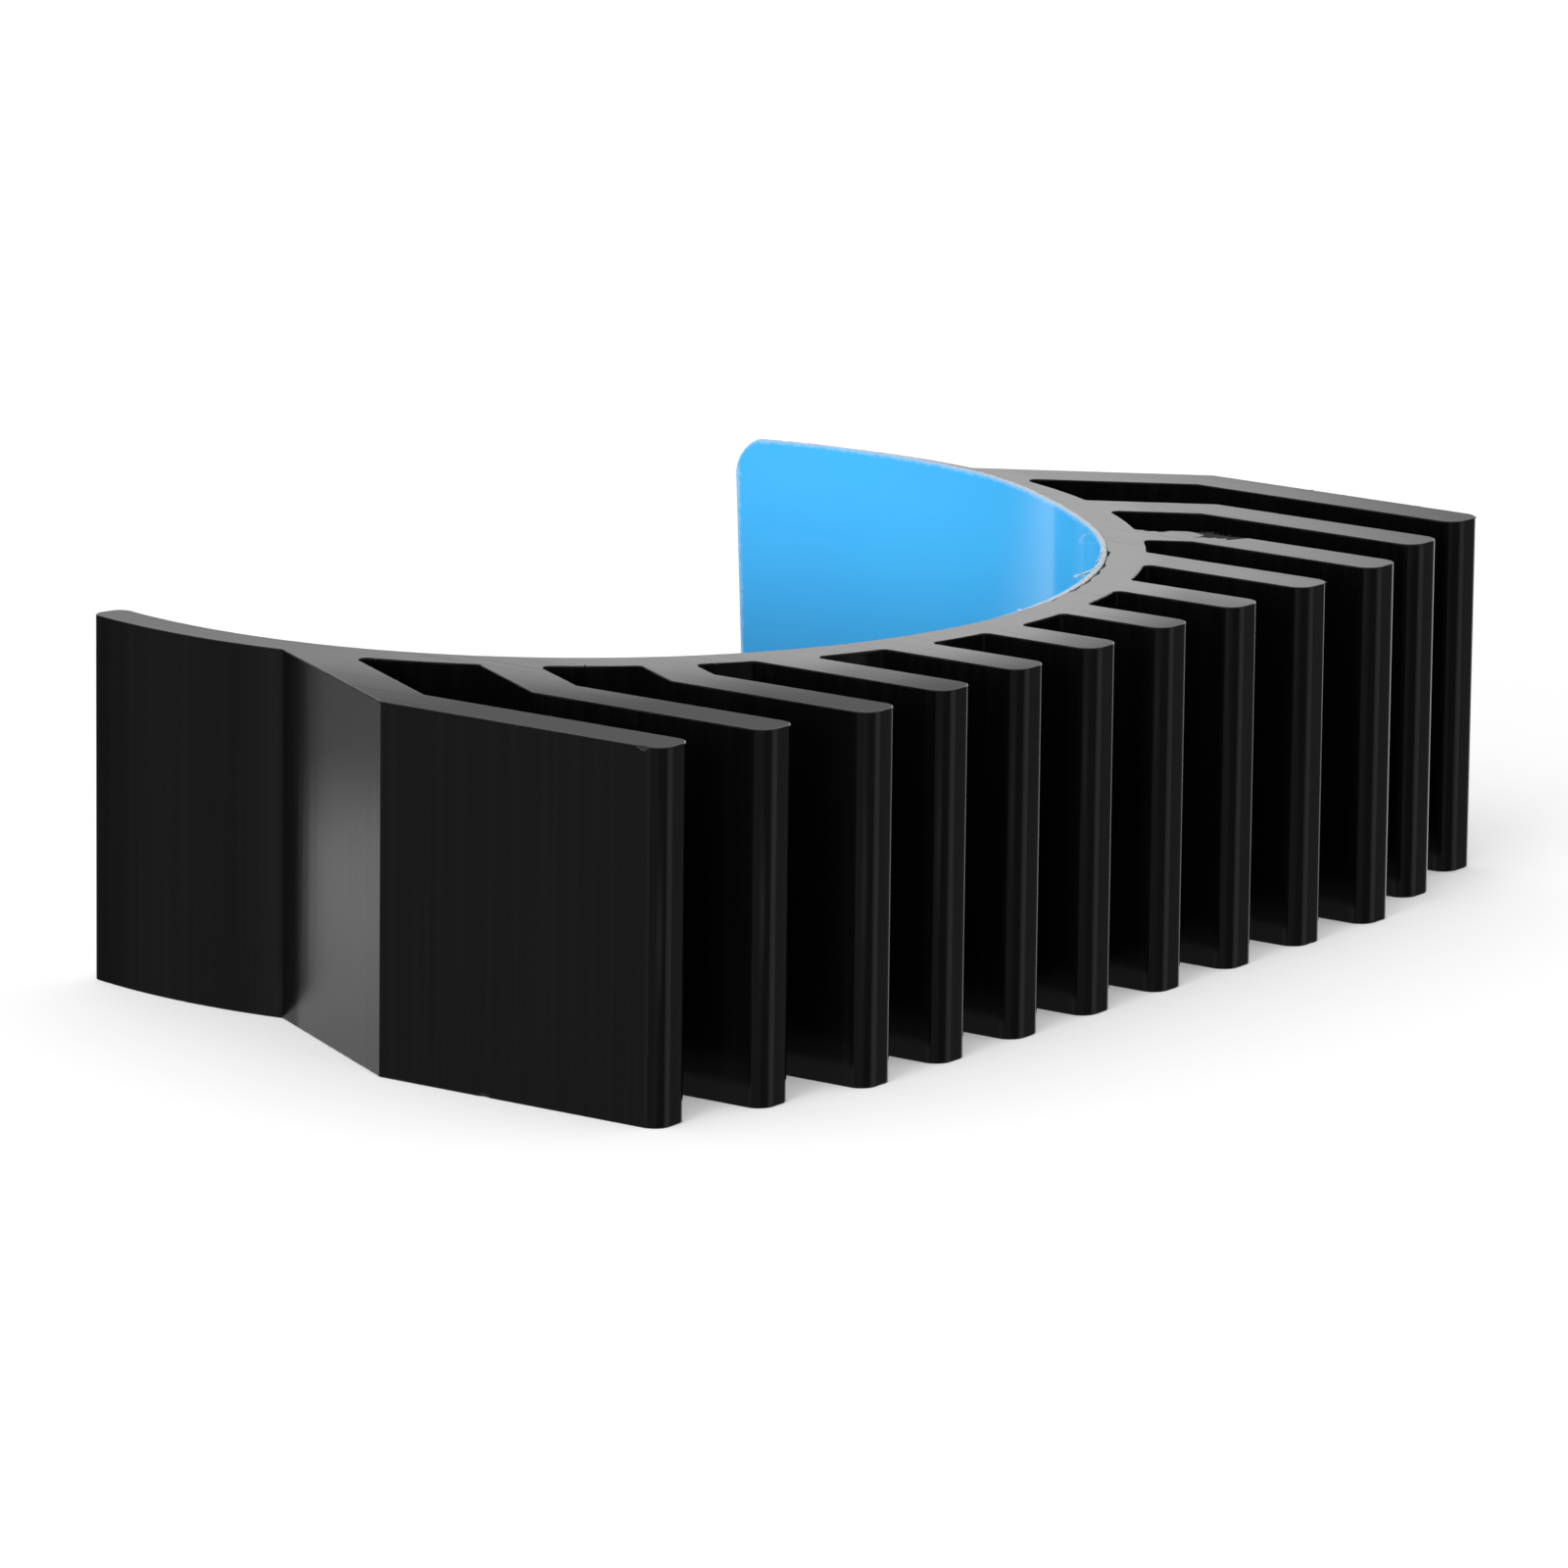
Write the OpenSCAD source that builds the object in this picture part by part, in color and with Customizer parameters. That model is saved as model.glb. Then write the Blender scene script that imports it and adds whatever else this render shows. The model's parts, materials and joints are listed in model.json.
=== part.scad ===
// Saddle heat sink for a round motor
// A sawn length of finned extrusion, with a pad of thermal tape and its release film in the seat.
// The origin is on the motor axis at the base. X runs out along the fins and Z up the cut length.
// Sizes are in millimetres and degrees.

/* [Extrusion] */
// Radius of the curved seat
seat_r = 17.7; // [17:0.1:20]
// Thickness of the curved wall
wall_t = 1.3; // [0.8:0.05:1.5]
// Angle from the middle plane to the end of each wing
wing_angle = 105.4; // [96:0.1:112]
// Radius of the corners at the end of each wing
wing_end_r = 0.5; // [0.1:0.05:0.7]
// Sawn length of the extrusion
cut_length = 11.9; // [6:0.1:40]

/* [Fins] */
// Distance from one fin to the next
fin_spacing = 4; // [3.85:0.05:4.4]
// Thickness of a fin
fin_t = 1.65; // [1.35:0.05:2]
// Distance from the wall to the fin tips on the middle plane
fin_reach = 3.9; // [3:0.05:8]
// Set-back of the tip from each outer fin to the next
tip_setback = 1; // [0:0.05:1.5]
// Radius of the corners of a fin tip
tip_r = 0.6; // [0.1:0.05:0.65]
// Lean of the roots of the three outer fins on each side
root_lean = 30; // [25:0.5:35]
// Place on the wall where the root of the fourth fin starts
fourth_root_angle = 43.2; // [40:0.1:44]
// Place on the wall where the root of the fifth fin starts
fifth_root_angle = 58.2; // [54:0.1:61]
// Place on the wall where the root of the sixth and outermost fin starts
sixth_root_angle = 76.9; // [73:0.1:80]
// Radius in the corners between the fins and the wall
root_r = 0.25; // [0.1:0.05:0.4]

/* [Thermal pad] */
// Thickness of the white tape
tape_t = 0.15; // [0.1:0.01:0.6]
// Thickness of the blue release film
film_t = 0.05; // [0.05:0.01:0.2]
// Turn of the pad towards the far wing, where it hangs over the end
pad_turn_angle = 2; // [0:0.1:4]
// Height of the pad's lower edge above the base, on the middle plane
pad_low = 0.3; // [0.3:0.05:2]
// Height that the pad stands proud of the upper sawn face, on the middle plane
pad_proud = 0.05; // [0:0.01:0.5]
// Tilt of the pad, which was laid on by hand
pad_tilt = 0.75; // [0:0.05:0.9]
// Radius of the corners of the pad
pad_corner_r = 1; // [0.3:0.05:3]

/* [Hidden] */
$fn = 96;
wall_r = seat_r + wall_t;
mid_r = seat_r + wall_t / 2;
tip_x = wall_r + fin_reach;
tape_r = seat_r - tape_t;
film_r = tape_r - film_t;
pad_h = cut_length + pad_proud - pad_low;
// A rounding arc is centred this part of its radius from the faces, so that it crosses them cleanly
bite = 0.98;
corner_in = bite * pad_corner_r;
// The pad is as long as the seat, so it falls short of the near wing's end
pad_far_angle = wing_angle + pad_turn_angle;
pad_near_angle = wing_angle - pad_turn_angle;
// The rounding of a wing's end is limited by the wall
end_r = min(wing_end_r, wall_t / 2);
// Distance of a fin's middle from the middle plane, for fins one to six
function fin_y(i) = fin_spacing * (i - 0.5);
// Fins beyond the fourth stand back in steps
function fin_tip(i) = tip_x - tip_setback * max(0, i - 4);
// Straight fins and leaning fins on each side
straight_fins = [1, 2, 3];
leaning_fins = [4, 5, 6];
root_angles = [fourth_root_angle, fifth_root_angle, sixth_root_angle];
// Cuts run this far past the faces that they open
over = 1;
reach = 2 * (tip_x + over);
// Roots run this far into the wall and are trimmed by the seat
root_in = fin_t + wall_t;

function dir(a) = [cos(a), sin(a)];
// Distance from p along d to the circle of radius r
function along(p, d, r) = -p * d + sqrt(pow(p * d, 2) - p * p + r * r);
function root(i) = wall_r * dir(root_angles[i - 4]);
// Where the leaning root turns into the straight fin
function bend_x(i) = root(i)[0] + (fin_y(i) - root(i)[1]) / tan(root_lean);
mitre = fin_t / 2 * tan(root_lean / 2);

// Prism over the whole cut length
module prism() {
    linear_extrude(cut_length)
        children();
}

// Cutter that runs past both sawn faces
module cutter() {
    translate([0, 0, -over])
        linear_extrude(cut_length + 2 * over)
            children();
}

// Wedge on the open side of the ring, between the near and far angles
module mouth(near_a, far_a) {
    polygon([
        [0, 0],
        reach * dir(far_a),
        [-reach, reach],
        [-reach, -reach],
        reach * dir(-near_a)
    ]);
}

// Bits taken off the two corners of a wing's end
module wing_corners() {
    rotate(wing_angle)
        for (side = [-1, 1])
            translate([mid_r + side * (wall_t / 2 - bite * end_r), -bite * end_r, 0])
                rotate(side > 0 ? 0 : 90)
                    difference() {
                        cutter()
                            square(end_r + over / 2);
                        cutter()
                            circle(r = end_r);
                    }
}

// Bits taken off the two corners of a fin tip
module tip_corners(i) {
    for (side = [-1, 1])
        translate([fin_tip(i) - tip_r, fin_y(i) + side * (fin_t / 2 - tip_r), 0])
            rotate(side > 0 ? 0 : -90)
                difference() {
                    cutter()
                        square(tip_r + over / 2);
                    cutter()
                        circle(r = tip_r);
                }
}

// Fillet on the wall beside a fin face through b, which runs along d and looks towards g
module root_fillet(b, d, g) {
    w = b + bite * root_r * g;
    c = w + along(w, d, wall_r + bite * root_r) * d;
    on_face = c - bite * root_r * g;
    on_wall = c * wall_r / norm(c);
    corner = b + along(b, d, wall_r) * d;
    difference() {
        prism()
            polygon([on_face, c, on_wall, on_wall * mid_r / wall_r, corner - wall_t / 4 * (d + g)]);
        cutter()
            translate(c)
                circle(r = root_r);
    }
}

// Straight fin, from inside the wall to its tip
module straight_fin(i) {
    difference() {
        prism()
            translate([seat_r - fin_y(i), fin_y(i) - fin_t / 2])
                square([fin_tip(i) - seat_r + fin_y(i), fin_t]);
        tip_corners(i);
    }
    for (side = [-1, 1])
        root_fillet([0, fin_y(i) + side * fin_t / 2], [1, 0], [0, side]);
}

// Fin with a leaning root that bends into a straight blade
module leaning_fin(i) {
    d = dir(root_lean);
    g = dir(root_lean + 90);
    start = root(i) - root_in * d;
    difference() {
        prism()
            polygon([
                start + fin_t / 2 * g,
                [bend_x(i) - mitre, fin_y(i) + fin_t / 2],
                [fin_tip(i), fin_y(i) + fin_t / 2],
                [fin_tip(i), fin_y(i) - fin_t / 2],
                [bend_x(i) + mitre, fin_y(i) - fin_t / 2],
                start - fin_t / 2 * g
            ]);
        tip_corners(i);
    }
    for (side = [-1, 1])
        root_fillet(start + side * fin_t / 2 * g, d, side * g);
}

// Fins on one side of the middle plane
module fins() {
    for (i = straight_fins)
        straight_fin(i);
    for (i = leaning_fins)
        leaning_fin(i);
}

module finned_body() {
    color("#26272a")
        difference() {
            union() {
                cylinder(r = wall_r, h = cut_length);
                fins();
                mirror([0, 1, 0])
                    fins();
            }
            cutter()
                circle(r = seat_r);
            cutter()
                mouth(wing_angle, wing_angle);
            wing_corners();
            mirror([0, 1, 0])
                wing_corners();
        }
}

// Bit taken off a corner of the pad at angle a, turned to its quarter
module pad_corner(a, side, up) {
    quarter = side > 0 ? (up > 0 ? 0 : -90) : (up > 0 ? 90 : 180);
    depth = tape_t + film_t + 2 * over;
    rotate(a)
        translate([film_r - over, -side * corner_in, up > 0 ? pad_h - corner_in : corner_in])
            rotate([quarter, 0, 0])
                difference() {
                    cube([depth, corner_in + over, corner_in + over]);
                    translate([-over, 0, 0])
                        rotate([0, 90, 0])
                            cylinder(r = pad_corner_r, h = depth + 2 * over);
                }
}

// Tilt of the pad about the middle of its lower edge
module pad_lean() {
    translate([0, 0, pad_low])
        rotate([pad_tilt, 0, 0])
            children();
}

// Curved strip between two radii, open at the mouth and tilted
module pad_strip(inner_r, outer_r) {
    intersection() {
        difference() {
            cylinder(r = outer_r, h = cut_length + over);
            translate([0, 0, -over])
                cylinder(r = inner_r, h = cut_length + 3 * over);
        }
        pad_lean()
            difference() {
                translate([-reach / 2, -reach / 2, 0])
                    cube([reach, reach, pad_h]);
                translate([0, 0, -over])
                    linear_extrude(pad_h + 2 * over)
                        mouth(pad_near_angle, pad_far_angle);
            }
    }
}

// Strip with its four corners rounded
module pad_sheet(inner_r, outer_r) {
    difference() {
        pad_strip(inner_r, outer_r);
        for (up = [-1, 1]) {
            pad_lean()
                pad_corner(pad_far_angle, 1, up);
            pad_lean()
                pad_corner(-pad_near_angle, -1, up);
        }
    }
}

module thermal_tape() {
    color("#f0f1ee")
        pad_sheet(tape_r, seat_r);
}

module release_film() {
    color("#2f9ff0")
        pad_sheet(film_r, tape_r);
}

finned_body();
thermal_tape();
release_film();
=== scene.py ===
"""Looks of a saddle heat sink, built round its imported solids.

A sawn length of black anodised extrusion carries a pad of white thermal tape under a blue release film.
Lengths are in metres, in the frame's axes: Z up the cut length and X out along the fins.
"""
import json
import math
import random
from collections import namedtuple

import bmesh
import bpy
from bpy.props import FloatProperty, FloatVectorProperty, IntProperty, PointerProperty
from bpy.types import Operator, Panel, PropertyGroup
from mathutils import Matrix, Vector, noise


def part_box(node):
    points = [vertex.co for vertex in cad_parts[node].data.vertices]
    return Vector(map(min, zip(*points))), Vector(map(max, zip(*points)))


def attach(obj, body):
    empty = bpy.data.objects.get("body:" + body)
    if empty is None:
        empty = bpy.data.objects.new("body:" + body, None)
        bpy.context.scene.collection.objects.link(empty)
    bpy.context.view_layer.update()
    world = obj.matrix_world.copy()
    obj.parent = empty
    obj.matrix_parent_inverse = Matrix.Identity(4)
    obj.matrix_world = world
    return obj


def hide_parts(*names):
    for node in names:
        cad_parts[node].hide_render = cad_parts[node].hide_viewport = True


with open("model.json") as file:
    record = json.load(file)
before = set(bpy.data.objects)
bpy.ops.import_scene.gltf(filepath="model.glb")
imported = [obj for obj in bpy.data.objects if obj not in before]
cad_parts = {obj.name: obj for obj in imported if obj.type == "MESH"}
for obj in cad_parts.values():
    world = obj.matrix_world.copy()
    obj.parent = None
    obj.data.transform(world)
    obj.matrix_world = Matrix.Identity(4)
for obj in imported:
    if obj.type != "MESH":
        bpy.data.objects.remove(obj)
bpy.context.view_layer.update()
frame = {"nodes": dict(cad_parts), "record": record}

bl_info = {
    "name": "Saddle heat sink",
    "version": (1, 0, 0),
    "blender": (4, 5, 0),
    "location": "View3D > Sidebar > Heat sink",
    "description": "Builds the looks of a finned saddle heat sink and its thermal pad",
    "category": "Object",
}

# Sizes taken from the frame
MM = 0.001
BODY_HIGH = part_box("finned_body")[1]
TAPE_LOW, TAPE_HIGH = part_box("thermal_tape")
FILM_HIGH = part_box("release_film")[1]
SEAT = next(mount for mount in frame["record"]["mounts"] if mount["name"] == "motor_seat")
CUT_LENGTH = BODY_HIGH.z
SEAT_R = TAPE_HIGH.x
TAPE_R = FILM_HIGH.x
FILM_R = SEAT["dims"]["r_mm"] * MM

# Limits used while meshes are made
WELD = 1e-6
FLAT = 0.9
MITRE_LIMIT = 0.5
SHARP_TURN = math.radians(25)
SHEET_SHARP_TURN = math.radians(40)

# Places of the extrusion's materials in its mesh
DRAWN, SAWN, TORN = range(3)

# Sawn edges: drops of the straight rows from the sawn face in millimetres, turns of the rounded rows
# in degrees, and the sizes of the saw's tear and of the grain in a chip
EDGE_DROPS = (0.5, 0.3, 0.22, 0.18, 0.14, 0.11, 0.08)
EDGE_TURNS = (0.0, 22.5, 45.0, 67.5, 90.0)
TEAR_SIZE = 0.3 * MM
CHIP_GRAIN = 0.22 * MM

# Angles along the pad in degrees: where its upper edge rises to the crown and to the far end,
# and where the film's edge dips
CROWN_FROM = -10
CROWN_TO = 26
FAR_FROM = 50
FAR_TO = 77
DIP_FROM = 20
DIP_DEEPEST = 36
DIP_TO = 48

# Power of the curve round the pad's corners, where 2 would give quarters of an ellipse
CORNER_POWER = 1.7

# Lean of the pad's far end and the stretch that leans, the film's waviness, its share of the tape's
# unevenness, and the seeds of both
END_LEAN = math.radians(1.2)
LEAN_RUN = 5.0 * MM
FILM_WAVE = 0.006 * MM
FILM_SHARE = 0.3
TAPE_SEED = 3.0
FILM_SEED = 8.0

# Marks of wear on the sawn edges, in millimetres: the place, half its length along the edge,
# how far it bites into the sawn face and runs down the side, and whether the upper edge has it
Mark = namedtuple("Mark", "x y half bite depth upper")
TORN_ROOT = Mark(13.85, 14.0, 0.45, 0.3, 0.03, True)
TORN_MIDDLE = Mark(15.1, 14.7, 0.4, 0.25, 0.03, True)
TORN_BEND = Mark(15.95, 14.83, 1.0, 1.0, 0.04, True)
LOWER_NICK = Mark(14.23, -22.82, 0.22, 0.1, 0.2, False)
UPPER_NICK = Mark(20.17, -22.82, 0.22, 0.05, 0.2, True)
RIM_NICK_ANGLES = (33.6, 26.9, 23.3, 18.5, 14.8, 8.3)
RIM_NICKS = tuple(
    Mark(SEAT_R / MM * math.cos(math.radians(turn)), SEAT_R / MM * math.sin(math.radians(turn)),
         0.44, 0.08, 0.055, True)
    for turn in RIM_NICK_ANGLES
)
WEAR = (TORN_ROOT, TORN_MIDDLE, TORN_BEND, LOWER_NICK, UPPER_NICK, *RIM_NICKS)
TORN_FROM = 0.01 * MM

# Places of the larger burrs on the upper edge, in millimetres, and the stray ones between them
BURR_PLACES = (
    (12.06, -14.68), (11.78, -14.91), (6.72, -17.77), (18.32, 19.15),
    (19.46, 19.06), (20.76, 11.02), (18.89, 14.78), (15.4, 14.83), (15.9, 14.83), (16.4, 14.83),
)
BURR_REACH = 0.3 * MM
BURR_SINK = 0.02 * MM
STRAY_BURRS = 60
STRAY_STEPS = 1.2
STRAY_SEED = 7
GRAIN_DENT = 0.04 * MM

# Crumbs on the tape's edge, in degrees from the middle plane, and the sliver that came loose beside them
CRUMB_ANGLES = (2.4, 9.5, 15.5, 18.6, 21.5, 24.0, 26.6, 29.0, 31.4, 33.5, 35.6)
CRUMB_TURN = 0.8
SLIVER_ANGLES = (20.6, 24.4)
SLIVER_LIFT = 0.33 * MM
RUN_STEPS = 24

# Hook-shaped rubbed mark on the film, as an arch on its face
HOOK_TURN = math.radians(46.0)
HOOK_HALF_TURN = math.radians(4.6)
HOOK_FOOT = 11.47 * MM
HOOK_RISE = 0.33 * MM
HOOK_SLANT = 3.57 * MM

# White cards round the object, which only its gloss sees: their direction, half width and soft edge
# in degrees, and their brightness
Card = namedtuple("Card", "turn half soft strength")
CARDS = (
    Card(118, 38, 8, 1.1),
    Card(160, 14, 12, 0.46),
    Card(26, 14, 14, 0.4),
    Card(54, 10, 16, 0.12),
    Card(-66, 26, 12, 0.14),
    Card(-106, 8, 12, 0.235),
    Card(-132, 16, 12, 0.165),
)

# Soft lamps: place and size in metres, and power in watts
Lamp = namedtuple("Lamp", "name place size power")
LAMPS = (
    Lamp("soft_box", (0.1, -0.35, 0.5), 0.35, 0.6),
    Lamp("front_box", (0.1, -0.577, 0.13), 0.2, 1.6),
)

# Corners of the white sheets on the floor in millimetres, and how far they lie below the object
NEAR_CORNERS = (
    (-40.0, -18.6), (-12.0, -20.9), (4.0, -22.4), (11.0, -23.2), (11.0, -17.0), (-40.0, -11.5),
)
FAR_CORNERS = ((-70.0, -4.0), (-16.0, -4.0), (-16.0, 34.0), (-70.0, 34.0))
FRONT_CORNERS = ((30.0, -49.0), (54.0, -49.0), (54.0, -25.0), (30.0, -25.0))
FRONT_MIDDLE = (42.0 * MM, -37.0 * MM, 0.0)
SHEET_DROP = 0.1 * MM

# Length of a ray from the near fin's sloping root, for each length that it goes along X
SLOPE_RATE = 1.03

# Radius of the floor in metres, and its sides
FLOOR_R = 2.5
FLOOR_SIDES = 96

# Width of the camera's sensor in millimetres, and its nearest distance in metres
SENSOR_WIDTH = 36.0
CLIP_START = 0.01

# White light, and the refractive indices of the anodising and of the film
WHITE = (1.0, 1.0, 1.0, 1.0)
METAL_IOR = 1.5
FILM_IOR = 1.45


# Node trees

class Value:
    """A socket of a node tree, whose arithmetic adds Math nodes to that tree."""

    def __init__(self, tree, socket):
        self.tree = tree
        self.socket = socket

    def out(self, name):
        """Another output of the same node."""
        return Value(self.tree, self.socket.node.outputs[name])

    def math(self, operation, *others):
        return self.tree.math(operation, self, *others)

    def __add__(self, other):
        return self.tree.math("ADD", self, other)

    def __radd__(self, other):
        return self.tree.math("ADD", other, self)

    def __sub__(self, other):
        return self.tree.math("SUBTRACT", self, other)

    def __rsub__(self, other):
        return self.tree.math("SUBTRACT", other, self)

    def __mul__(self, other):
        return self.tree.math("MULTIPLY", self, other)

    def __rmul__(self, other):
        return self.tree.math("MULTIPLY", other, self)


class Tree:
    """Adds nodes to one node tree, for a material, the world or a geometry group."""

    def __init__(self, node_tree):
        self.nodes = node_tree.nodes
        self.links = node_tree.links

    def put(self, value, socket):
        """Link a value to a socket, or set a plain number or colour on it."""
        if isinstance(value, Value):
            self.links.new(value.socket, socket)
        else:
            socket.default_value = value

    def add(self, kind, settings=None, sockets=None, out=0):
        """Make a node, set its settings, then its sockets, and wrap one output where it has any."""
        node = self.nodes.new(kind)
        for name, value in (settings or {}).items():
            setattr(node, name, value)
        for name, value in (sockets or {}).items():
            self.put(value, node.inputs[name])
        return Value(self, node.outputs[out]) if node.outputs else node

    def math(self, operation, *values):
        return self.add("ShaderNodeMath", {"operation": operation}, dict(enumerate(values)))

    def vector_math(self, operation, *values, out="Vector"):
        return self.add("ShaderNodeVectorMath", {"operation": operation}, dict(enumerate(values)), out)

    def blend(self, factor, start, end):
        """Colour from start to end."""
        return self.add("ShaderNodeMix", {"data_type": "RGBA"}, {0: factor, 6: start, 7: end}, 2)

    def ramp(self, value, low, high, start=0.0, end=1.0):
        """Start to end as value goes smoothly from low to high, and held beyond."""
        sockets = {"Value": value, "From Min": low, "From Max": high, "To Min": start, "To Max": end}
        return self.add("ShaderNodeMapRange", {"interpolation_type": "SMOOTHSTEP"}, sockets)

    def noise(self, vector, size, detail=2.0, roughness=0.5, out=0):
        """Noise whose features are about size across, from 0 to 1."""
        shape = {"Vector": vector, "Scale": 1.0 / size, "Detail": detail, "Roughness": roughness}
        return self.add("ShaderNodeTexNoise", {}, shape, out)

    def mapped(self, vector, scale=(1.0, 1.0, 1.0), turn=0.0):
        """Coordinates turned about Z and scaled."""
        sockets = {"Vector": vector, "Rotation": (0.0, 0.0, turn), "Scale": scale}
        return self.add("ShaderNodeMapping", {"vector_type": "POINT"}, sockets)

    def parts(self, vector):
        """The X, Y and Z of a vector."""
        split = self.add("ShaderNodeSeparateXYZ", {}, {0: vector})
        return split, split.out("Y"), split.out("Z")

    def vector(self, x, y, z):
        return self.add("ShaderNodeCombineXYZ", {}, {"X": x, "Y": y, "Z": z})

    def level(self, vector):
        """The vector with its Z left out."""
        return self.vector_math("MULTIPLY", vector, (1.0, 1.0, 0.0))

    def length(self, vector):
        return self.vector_math("LENGTH", vector, out="Value")

    def turn(self, vector):
        """Angle of a place about the motor axis."""
        x, y, _ = self.parts(vector)
        return y.math("ARCTAN2", x)

    def facing(self, vector, turn):
        """How far a level vector points in the direction of an angle about the motor axis."""
        way = (math.cos(turn), math.sin(turn), 0.0)
        return self.vector_math("DOT_PRODUCT", vector, way, out="Value")

    def bump(self, height, depth, strength=1.0):
        """Normal of a relief of that depth in metres."""
        return self.add("ShaderNodeBump", {}, {"Height": height, "Distance": depth, "Strength": strength})

    def attribute(self, name):
        """A number stored on the points of a piece."""
        return self.add("ShaderNodeAttribute", {"attribute_name": name}, {}, "Fac")


def colour(value, share=1.0):
    """A colour with its alpha, made lighter or darker by a share."""
    return (*(min(1.0, part * share) for part in value), 1.0)


def paler(value, share, white):
    """A share of a colour with white added."""
    return colour(tuple(share * part + white for part in value))


def new_material(name):
    """An empty node material with its tree, and the piece's own coordinates."""
    material = bpy.data.materials.new(name)
    material.use_nodes = True
    material.node_tree.nodes.clear()
    tree = Tree(material.node_tree)
    place = tree.add("ShaderNodeTexCoord", {}, {}, "Object")
    return material, tree, place


def surface(tree, sockets):
    """Principled surface that ends a material's tree."""
    shader = tree.add("ShaderNodeBsdfPrincipled", {}, sockets)
    tree.add("ShaderNodeOutputMaterial", {}, {"Surface": shader})


# Settings

class ExtrusionSettings(PropertyGroup):
    edge_break: FloatProperty(
        name="Edge break", description="Rounding of the sawn edges",
        default=0.05 * MM, unit="LENGTH", precision=6)
    outline_step: FloatProperty(
        name="Outline step", description="Longest stretch between two points of the profile",
        default=0.12 * MM, unit="LENGTH", precision=6)
    ragged: FloatProperty(
        name="Saw tear", description="Unevenness that the saw left on its edges",
        default=0.012 * MM, unit="LENGTH", precision=6)
    saw_turn: FloatProperty(
        name="Saw line angle", description="Direction of the saw lines, from the fins' own direction",
        default=math.radians(-28.6), subtype="ANGLE")
    # The saw left the face smoothest towards these two directions, where the sawn colour also carries a
    # painted sheen.
    crown_turn: FloatProperty(
        name="Bright crown", description="Direction of the part of the wall that the saw left smoothest",
        default=math.radians(32), subtype="ANGLE")
    far_turn: FloatProperty(
        name="Bright side", description="Direction of the fins that the saw left smoothest",
        default=math.radians(70), subtype="ANGLE")
    anodised: FloatVectorProperty(
        name="Anodised colour", description="Colour of the drawn faces",
        default=(0.002, 0.002, 0.0021), subtype="COLOR", size=3)
    sawn: FloatVectorProperty(
        name="Sawn colour", description="Colour of the sawn faces",
        default=(0.012, 0.012, 0.0125), subtype="COLOR", size=3)
    torn: FloatVectorProperty(
        name="Torn colour", description="Colour of chipped metal",
        default=(0.05, 0.05, 0.052), subtype="COLOR", size=3)


class PadSettings(PropertyGroup):
    near_angle: FloatProperty(
        name="Near end", description="Angle from the middle plane to the pad's near end",
        default=math.radians(103.4), subtype="ANGLE")
    far_angle: FloatProperty(
        name="Far end", description="Angle from the middle plane to the pad's far end",
        default=math.radians(107.0), subtype="ANGLE")
    tilt: FloatProperty(
        name="Tilt", description="Tilt of the pad's lower edge, since it was laid on by hand",
        default=math.radians(0.75), subtype="ANGLE")
    near_top: FloatProperty(
        name="Near top", description="Height of the upper edge at the near end",
        default=CUT_LENGTH - 0.1 * MM, unit="LENGTH", precision=6)
    crown_rise: FloatProperty(
        name="Crown rise", description="Rise of the upper edge from the near end to the crown",
        default=0.13 * MM, unit="LENGTH", precision=6)
    far_rise: FloatProperty(
        name="Far rise", description="Rise of the upper edge from the crown to the far end",
        default=TAPE_HIGH.z - CUT_LENGTH - 0.02 * MM, unit="LENGTH", precision=6)
    corner_width: FloatProperty(
        name="Corner width", description="Length of the rounded corners along the pad",
        default=0.85 * MM, unit="LENGTH", precision=6)
    corner_height: FloatProperty(
        name="Corner height", description="Height of the rounded corners",
        default=1.15 * MM, unit="LENGTH", precision=6)
    columns: IntProperty(name="Columns", description="Points along the pad", default=800)
    rows: IntProperty(name="Rows", description="Points up the pad", default=14)
    tape_ragged: FloatProperty(
        name="Tape edge", description="Unevenness of the tape's cut edge",
        default=0.08 * MM, unit="LENGTH", precision=6)
    film_dip: FloatProperty(
        name="Film dip", description="How far the film's edge dips below the tape's by the crown",
        default=0.04 * MM, unit="LENGTH", precision=6)
    crumb: FloatProperty(
        name="Crumb size", description="Size of the largest crumbs on the tape's edge",
        default=0.24 * MM, unit="LENGTH", precision=6)
    tape: FloatVectorProperty(
        name="Tape colour", description="Colour of the thermal tape",
        default=(0.62, 0.66, 0.69), subtype="COLOR", size=3)
    # Colour of the mottled darkening by the metal on the tape's upper edge.
    tape_dark_edge: FloatVectorProperty(
        name="Tape dirt", description="Colour of the dirt on the tape's cut edge",
        default=(0.2, 0.18, 0.17), subtype="COLOR", size=3)
    film: FloatVectorProperty(
        name="Film colour", description="Colour of the release film",
        default=(0.064, 0.5, 0.98), subtype="COLOR", size=3)


class StudioSettings(PropertyGroup):
    eye: FloatVectorProperty(
        name="Camera place", description="Where the camera stands",
        default=(235.76 * MM, -313.31 * MM, 92.71 * MM), subtype="TRANSLATION", size=3)
    aim: FloatVectorProperty(
        name="Camera aim", description="The point in the middle of the picture",
        default=(7.0 * MM, 2.69 * MM, 4.35 * MM), subtype="TRANSLATION", size=3)
    roll: FloatProperty(
        name="Camera roll", description="Turn of the camera about its own view",
        default=math.radians(0.652), subtype="ANGLE")
    lens: FloatProperty(
        name="Lens", description="Focal length",
        default=281.3, subtype="DISTANCE_CAMERA")
    fill: FloatProperty(
        name="Fill", description="Light from all round on matt surfaces",
        default=0.8)
    room: FloatProperty(
        name="Room", description="Brightness of the room between the cards",
        default=0.07)
    above: FloatProperty(
        name="Ceiling", description="Brightness of the room overhead",
        default=0.45)
    lift: FloatProperty(
        name="White floor", description="Glow that brings the floor up to white",
        default=0.2)
    floor: FloatVectorProperty(
        name="Floor colour", description="Colour of the floor",
        default=(0.9, 0.9, 0.9), subtype="COLOR", size=3)


# Mesh helpers

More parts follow.
